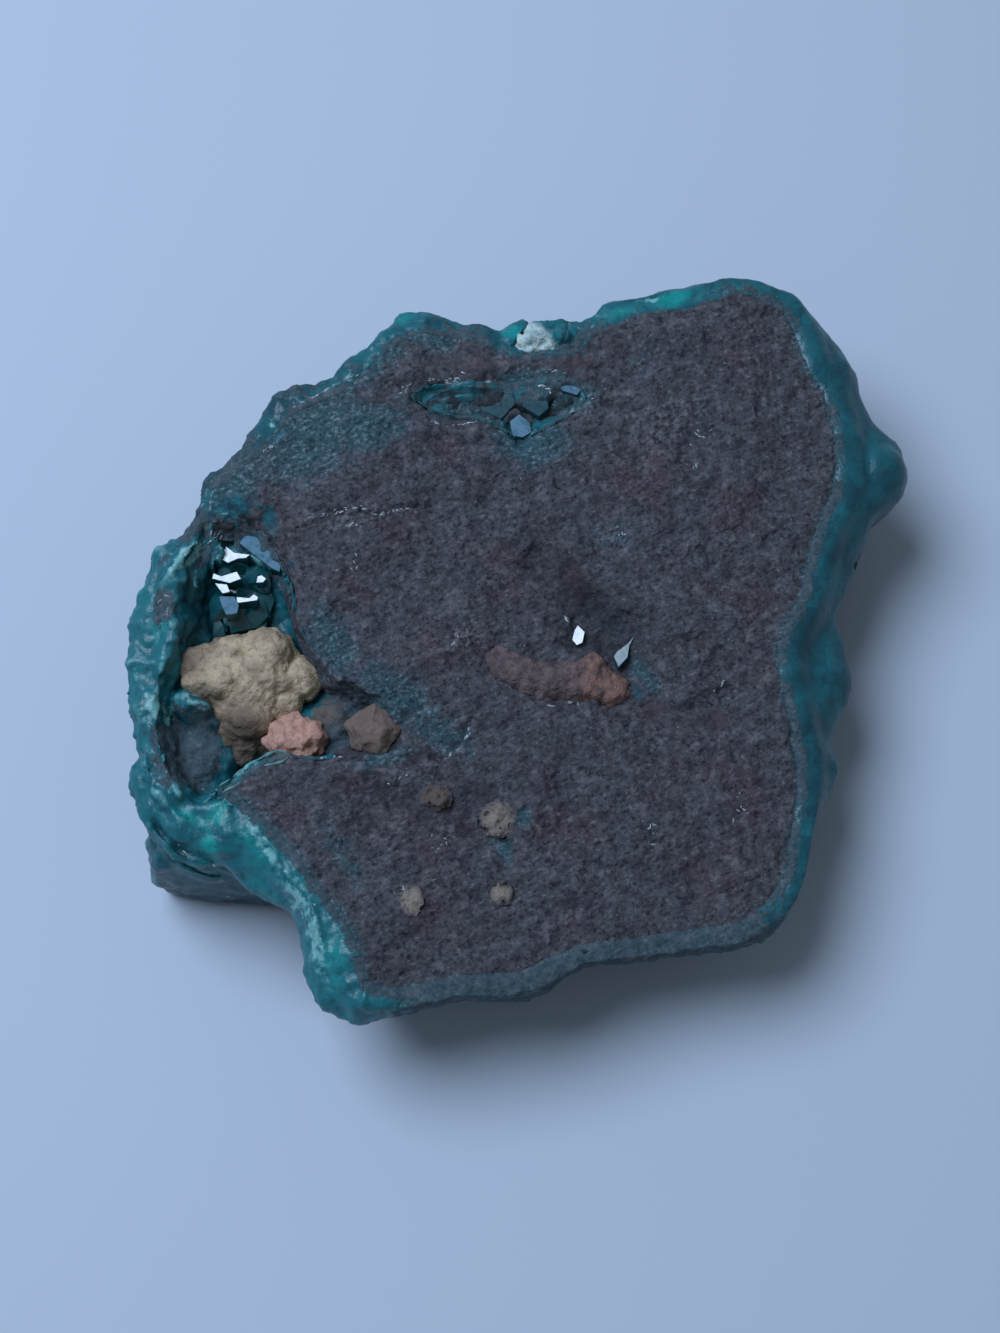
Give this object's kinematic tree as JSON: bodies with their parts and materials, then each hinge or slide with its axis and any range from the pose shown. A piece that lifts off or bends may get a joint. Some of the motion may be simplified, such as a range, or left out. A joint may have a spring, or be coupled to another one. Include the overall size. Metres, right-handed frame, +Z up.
{
  "type": "dioptase mineral specimen",
  "caption": "Tilted slab of dark granular host rock rimmed and carried by a blue-green dioptase crust, with an open vug and pale mineral grains.",
  "frame": {"origin": "middle of the bounding box in plan, at the height of the surface that the specimen stands on", "axes": "+Z up, +X to the right and -Y to the front as the specimen lies with its dark face up"},
  "size_m": [0.0664, 0.0644, 0.0212],
  "materials": {
    "host_rock": "rough, granular",
    "dioptase": "waxy, slightly translucent",
    "dioptase_crystal": "glassy crystal faces",
    "pale_crystal": "glassy crystal faces",
    "tan_calcite": "dull, knobbly",
    "pink_feldspar": "dull, knobbly",
    "grey_feldspar": "satin crystal faces",
    "brown_vein": "dull, fine-grained",
    "pale_calcite": "dull, sugary",
    "cream_grain": "dull"
  },
  "bodies": {
    "root": {"host_rock_slab": "host_rock", "dioptase_crust": "dioptase", "vug_crystals": "dioptase_crystal", "crevice_crystals": "dioptase_crystal", "middle_hollow_crystals": "pale_crystal", "tan_calcite_lump": "tan_calcite", "pink_feldspar_grain": "pink_feldspar", "grey_feldspar_crystal": "grey_feldspar", "brown_vein_lump": "brown_vein", "pale_calcite_knob": "pale_calcite", "cream_grain_large": "cream_grain", "cream_grain_brown": "cream_grain", "cream_grain_left": "cream_grain", "cream_grain_right": "cream_grain"}
  },
  "joints": []
}
